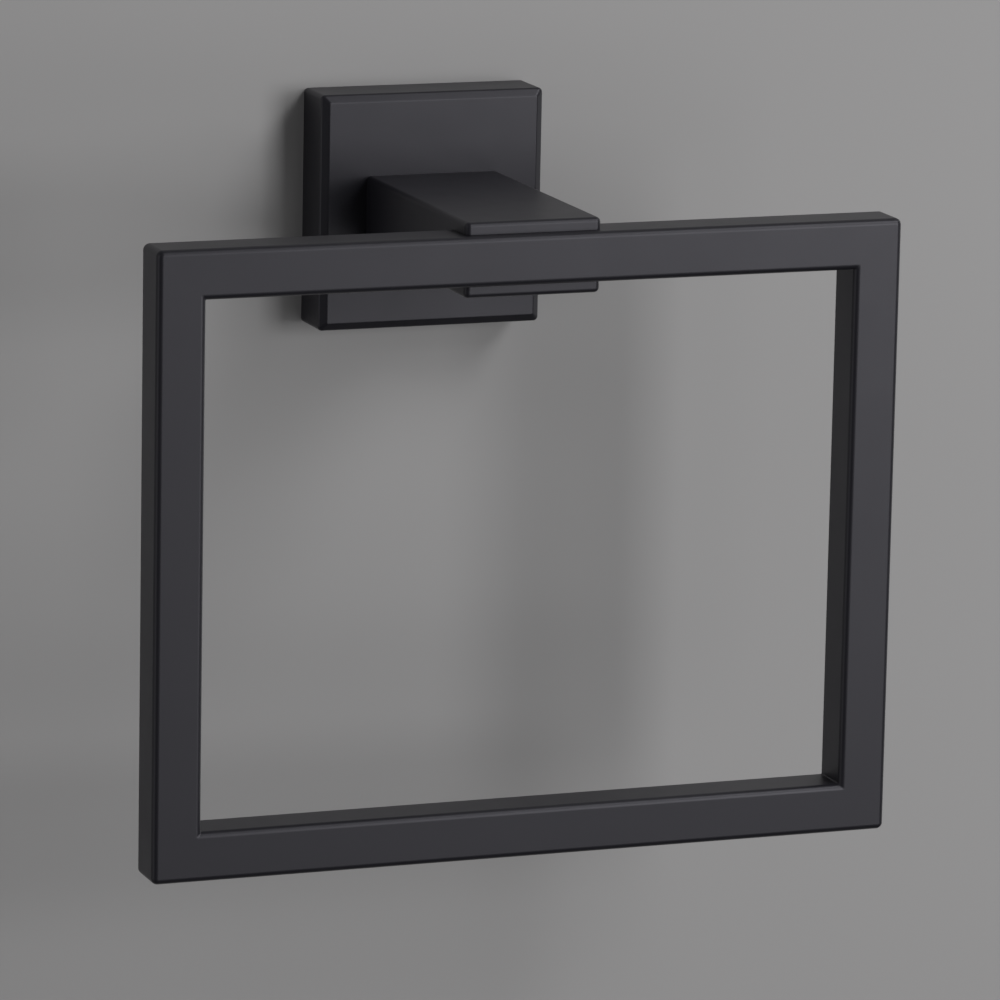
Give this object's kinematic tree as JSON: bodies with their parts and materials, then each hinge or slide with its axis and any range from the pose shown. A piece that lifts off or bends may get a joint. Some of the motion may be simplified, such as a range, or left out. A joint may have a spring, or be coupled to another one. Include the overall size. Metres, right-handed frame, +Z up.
{
  "type": "towel ring",
  "caption": "Wall-mounted towel ring: a rectangular bar frame held in the slotted arm of a square bevelled flange that covers a hidden wall bracket.",
  "frame": {"origin": "middle of the wall flange on the wall plane, midway between the bracket's two wall slots", "axes": "+Y into the wall, +X to the viewer's right along the top bar, +Z up; the ring stands out along -Y"},
  "size_m": [0.1626, 0.0756, 0.1514],
  "materials": {
    "satin_black_coat": "smooth satin black coating, slightly cool, low gloss",
    "zinc_plate": "bright zinc-plated pressed steel",
    "plated_screw": "zinc-plated steel fastener",
    "black_screw": "black-oxide steel grub screw"
  },
  "bodies": {
    "root": {"ring": "satin_black_coat", "arm": "satin_black_coat", "wall_flange": "satin_black_coat", "wall_bracket": "zinc_plate", "flange_grub_screw": "black_screw", "arm_screws": "plated_screw", "ring_screw": "plated_screw", "ring_lock_washer": "plated_screw"}
  },
  "joints": []
}
